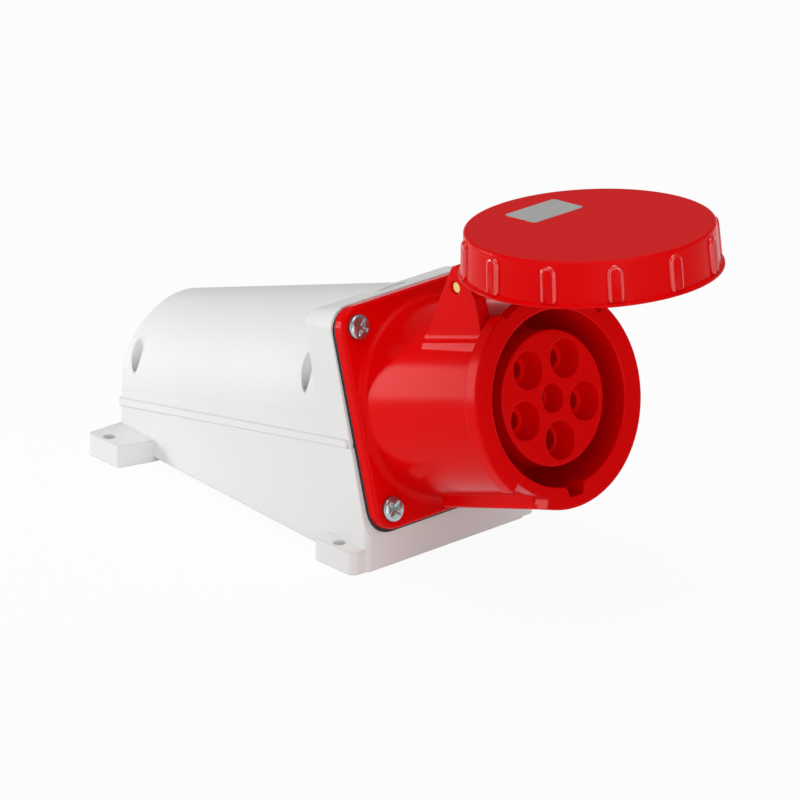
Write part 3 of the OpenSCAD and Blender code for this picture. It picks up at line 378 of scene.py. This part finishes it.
def grip_pads():
    """Rounded grip pads round the twist cap, each a closed shell with glossy flanks."""
    pivot = Vector(CAP_TWIST["pos_m"])
    top = max((p - pivot).dot(CAP_AXIS) for p in corner_points("twist_cap"))
    rings = pad_rings()
    count = len(rings[0])
    points, faces = [], []
    for i in range(PAD_COUNT):
        start = len(points)
        for ring in rings:
            for across, below, height in ring:
                radius = CAP_TOP_RADIUS + CAP_SLOPE * below
                angle = 2 * math.pi * i / PAD_COUNT - PAD_TURN + across / radius
                out = CAP_SIDE * math.cos(angle) + CAP_UP * math.sin(angle)
                points.append(pivot + CAP_AXIS * (top - below) + out * (radius + height))
        loops = [range(start + r * count, start + (r + 1) * count) for r in range(len(rings))]
        for lower, upper in zip(loops, loops[1:]):
            faces += [(lower[k], upper[k], upper[k + 1], lower[k + 1]) for k in range(count - 1)]
        faces.append(tuple(reversed(loops[-1])))
        faces.append(tuple(loops[0]))
        feet = [loop[-1] for loop in loops] + [loop[0] for loop in reversed(loops)]
        faces.append(tuple(feet))
    made = mesh_object("twist_cap_grips", points, faces, "red_plastic")
    made.data.materials.append(PAD_FLANK)
    for face in made.data.polygons:
        # Only the flanks are made of four-cornered faces
        face.material_index = 1 if len(face.vertices) == 4 else 0
    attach(made, "lid_cap")


def cross_recess(x, y, radius, depth):
    """Depth of a tapered cross recess at a point of the head."""
    arm, flank = RECESS_ARM * radius, RECESS_FLANK * radius
    deepest = 0.0
    for along, across in ((abs(x), abs(y)), (abs(y), abs(x))):
        width = RECESS_WIDTH * radius + RECESS_FLARE * radius * (1 - along / arm)
        wall = 1 - smooth(width - flank, width, across)
        slope = 1 - RECESS_RISE * smooth(RECESS_RISE_START * arm, arm, along)
        end = 1 - smooth(arm - flank, arm, along)
        deepest = max(deepest, wall * slope * end)
    return depth * deepest


def pan_head(centre, radius, height, turn):
    """Points and faces of one closed pan head with a cross recess; its seat is at the centre."""
    side = SOCKET_UP.cross(SOCKET_AXIS).normalized()
    right = side * math.cos(turn) - SOCKET_UP * math.sin(turn)
    over = SOCKET_UP * math.cos(turn) + side * math.sin(turn)

    def head_point(x, y):
        fall = math.sqrt(max(1 - (math.hypot(x, y) / radius) ** 4, 0))
        crown = height * (HEAD_RIM + (1 - HEAD_RIM) * fall)
        rise = crown - cross_recess(x, y, radius, RECESS_DEPTH * height)
        return centre + right * x + over * y + SOCKET_AXIS * rise

    points = [head_point(0, 0)]
    angles = [2 * math.pi * k / HEAD_SPOKES for k in range(HEAD_SPOKES)]
    for i in range(1, HEAD_RINGS + 1):
        reach = radius * i / HEAD_RINGS
        points += [head_point(reach * math.cos(a), reach * math.sin(a)) for a in angles]
    points += [p - SOCKET_AXIS * (p - centre).dot(SOCKET_AXIS) for p in points[-HEAD_SPOKES:]]

    faces = [(0, 1 + k, 1 + (k + 1) % HEAD_SPOKES) for k in range(HEAD_SPOKES)]
    for i in range(HEAD_RINGS):
        first = 1 + i * HEAD_SPOKES
        for k in range(HEAD_SPOKES):
            a, b = first + k, first + (k + 1) % HEAD_SPOKES
            faces.append((a, a + HEAD_SPOKES, b + HEAD_SPOKES, b))
    underside = range(1 + HEAD_RINGS * HEAD_SPOKES, 1 + (HEAD_RINGS + 1) * HEAD_SPOKES)
    faces.append(tuple(reversed(underside)))
    return points, faces


def flange_screws():
    """The four flange screws, each head turned as far as it was driven."""
    points = corner_points("flange_screws")
    middle = sum(points, Vector()) / len(points)
    corners = {}
    for p in points:
        key = (1 if p.x > middle.x else -1, 1 if (p - middle).dot(SOCKET_UP) > 0 else -1)
        corners.setdefault(key, []).append(p)
    all_points, all_faces = [], []
    for key, own in corners.items():
        xs = [p.x for p in own]
        ups = [p.dot(SOCKET_UP) for p in own]
        top = max(p.dot(SOCKET_AXIS) for p in own)
        radius = (max(xs) - min(xs)) / 2
        seat = top - HEAD_HEIGHT * radius
        across, up = (max(xs) + min(xs)) / 2, (max(ups) + min(ups)) / 2
        centre = Vector((across, 0, 0)) + SOCKET_UP * up + SOCKET_AXIS * seat
        head_points, head_faces = pan_head(centre, radius, top - seat, HEAD_TURNS[key])
        start = len(all_points)
        all_points += head_points
        all_faces += [tuple(start + i for i in face) for face in head_faces]
    made = mesh_object("flange_screw_heads", all_points, all_faces, "zinc_steel")
    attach(made, "enclosure")
    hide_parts("flange_screws")


def floor_material():
    """Pale, and almost white to the camera and in reflections."""
    material = bpy.data.materials.new("pale_floor")
    material.use_nodes = True
    tree = material.node_tree
    tree.nodes.remove(tree.nodes["Principled BSDF"])
    diffuse = tree.nodes.new("ShaderNodeBsdfDiffuse")
    diffuse.inputs["Color"].default_value = FLOOR_COLOUR
    white = tree.nodes.new("ShaderNodeEmission")
    rays = tree.nodes.new("ShaderNodeLightPath")
    seen = rays.outputs["Is Camera Ray"]
    for ray in ("Is Glossy Ray", "Is Transmission Ray"):
        either = tree.nodes.new("ShaderNodeMath")
        either.operation = "MAXIMUM"
        tree.links.new(seen, either.inputs[0])
        tree.links.new(rays.outputs[ray], either.inputs[1])
        seen = either.outputs["Value"]
    share = tree.nodes.new("ShaderNodeMath")
    share.operation = "MULTIPLY"
    share.inputs[1].default_value = FLOOR_SHOWN_WHITE
    tree.links.new(seen, share.inputs[0])
    mix = tree.nodes.new("ShaderNodeMixShader")
    tree.links.new(share.outputs["Value"], mix.inputs["Fac"])
    tree.links.new(diffuse.outputs["BSDF"], mix.inputs[1])
    tree.links.new(white.outputs["Emission"], mix.inputs[2])
    tree.links.new(mix.outputs["Shader"], tree.nodes["Material Output"].inputs["Surface"])
    return material


def floor():
    """A pale floor that keeps a faint shadow."""
    half = FLOOR_SIZE / 2
    corners = [(-half, -half, 0), (half, -half, 0), (half, half, 0), (-half, half, 0)]
    mesh = bpy.data.meshes.new("floor")
    mesh.from_pydata(corners, [], [(0, 1, 2, 3)])
    mesh.materials.append(floor_material())
    made = bpy.data.objects.new("floor", mesh)
    made.location.z = -FLOOR_DROP
    bpy.context.scene.collection.objects.link(made)


def aim(made, place, target, roll):
    """Puts a lamp at a place, turned to a target and rolled round its beam."""
    beam = Vector(target) - Vector(place)
    made.location = place
    made.rotation_mode = "QUATERNION"
    made.rotation_quaternion = beam.to_track_quat("-Z", "Y") @ \
        Quaternion((0, 0, 1), math.radians(roll))


def studio():
    """Soft boxes to the left, above and in front, in a dim room."""
    world = bpy.data.worlds.new("studio")
    world.use_nodes = True
    background = world.node_tree.nodes["Background"]
    background.inputs["Color"].default_value = (1, 1, 1, 1)
    background.inputs["Strength"].default_value = WORLD_STRENGTH
    bpy.context.scene.world = world
    for name, place, target, width, height, roll, watts in SOFTBOXES:
        lamp = bpy.data.lights.new(name, "AREA")
        lamp.shape = "RECTANGLE"
        lamp.size, lamp.size_y, lamp.energy = width, height, watts
        made = bpy.data.objects.new(name, lamp)
        bpy.context.scene.collection.objects.link(made)
        aim(made, place, target, roll)


def camera():
    """The photograph's camera."""
    angles = CAMERA_AZIMUTH, CAMERA_ELEVATION, CAMERA_ROLL
    azimuth, elevation, roll = (math.radians(a) for a in angles)
    back = Vector((math.sin(azimuth) * math.cos(elevation),
                   -math.cos(azimuth) * math.cos(elevation),
                   math.sin(elevation)))
    level = Vector((math.cos(azimuth), math.sin(azimuth), 0))
    right = Matrix.Rotation(roll, 3, back) @ level
    up = back.cross(right)
    made = bpy.data.objects.new("camera", bpy.data.cameras.new("camera"))
    bpy.context.scene.collection.objects.link(made)
    made.matrix_world = Matrix.Translation(CAMERA_TARGET + back * CAMERA_DISTANCE) @ \
        Matrix((right, up, back)).transposed().to_4x4()
    made.data.lens = CAMERA_LENS
    made.data.sensor_width = CAMERA_SENSOR
    made.data.shift_x, made.data.shift_y = CAMERA_SHIFT
    made.data.clip_end = CAMERA_REACH
    bpy.context.scene.camera = made


dress_frame()
flange_screws()
gasket_edge()
pin_ends()
grip_pads()
floor()
studio()
camera()
bpy.context.scene.view_settings.view_transform = "Standard"
